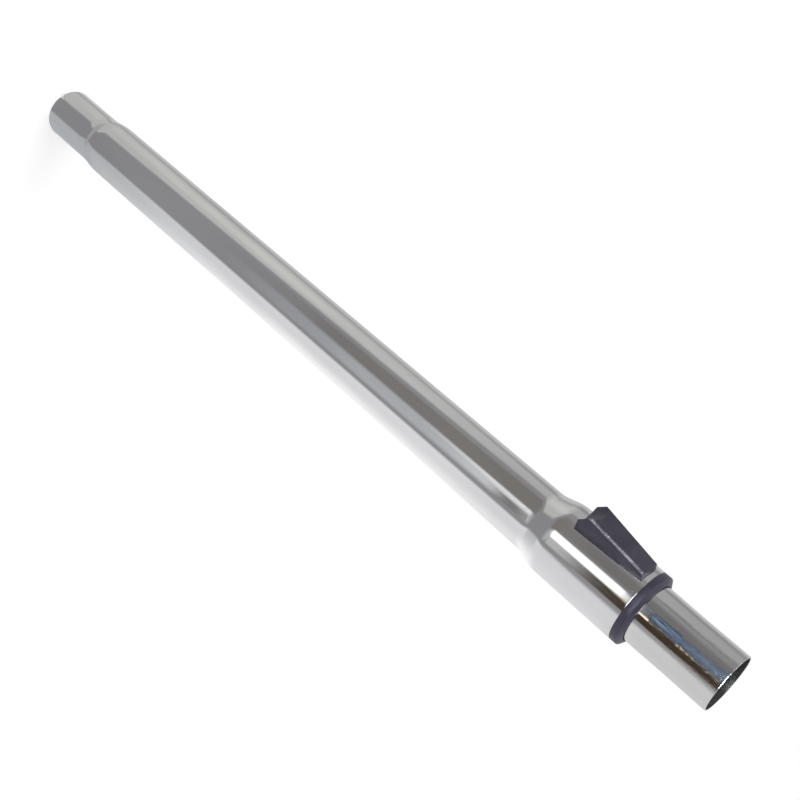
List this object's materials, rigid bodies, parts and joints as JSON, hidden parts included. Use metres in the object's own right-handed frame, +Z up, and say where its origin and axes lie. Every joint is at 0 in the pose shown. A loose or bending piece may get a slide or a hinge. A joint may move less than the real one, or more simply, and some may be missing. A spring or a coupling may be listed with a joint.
{
  "type": "telescopic vacuum wand",
  "caption": "Telescopic chromed steel vacuum wand with a widened latch housing, wedge-shaped release button, collar and a sliding inner tube.",
  "frame": {"origin": "centre of the hose cuff's rim, which the wand stands on", "axes": "+Z up the wand from the hose cuff to the open mouth of the inner tube, the button faces -Y"},
  "size_m": [0.041, 0.0512, 0.5455],
  "materials": {
    "chromed_tube": "bright chromed steel, faintly scuffed",
    "dark_plastic": "dark blue-black moulded plastic with a soft gloss",
    "natural_plastic": "natural white moulded plastic, slippery",
    "felt": "pressed grey felt",
    "rubber": "soft black rubber",
    "spring_steel": "plain hard steel"
  },
  "bodies": {
    "outer": {"outer_tube": "chromed_tube", "guide_sleeve": "natural_plastic", "collar_ring": "dark_plastic", "wiper_ring": "felt", "return_spring_left": "spring_steel", "return_spring_right": "spring_steel"},
    "inner": {"inner_tube": "chromed_tube", "glide_shell_left": "natural_plastic", "glide_shell_right": "natural_plastic", "seal_ring": "rubber", "end_ring": "natural_plastic"},
    "button": {"release_button": "dark_plastic", "latch_slider": "natural_plastic"},
    "roller": {"locking_roller": "spring_steel"}
  },
  "joints": [
    {"name": "inner_slide", "type": "slide", "parent": "outer", "child": "inner", "axis": [0, 0, 1], "range_m": [0, 0.36]},
    {"name": "button_slide", "type": "slide", "parent": "outer", "child": "button", "axis": [0, 0, 1], "range_m": [0, 0.0022], "stiffness_N_per_m": 2000, "springref_m": -0.0005, "deforming": ["return_spring_left", "return_spring_right"]},
    {"name": "roller_rise", "type": "slide", "parent": "outer", "child": "roller", "axis": [0, -1, 0], "range_m": [0, 0.0014]}
  ],
  "couplings": [
    {"joint": "roller_rise", "follows": "button_slide", "ratio": 0.6363}
  ]
}
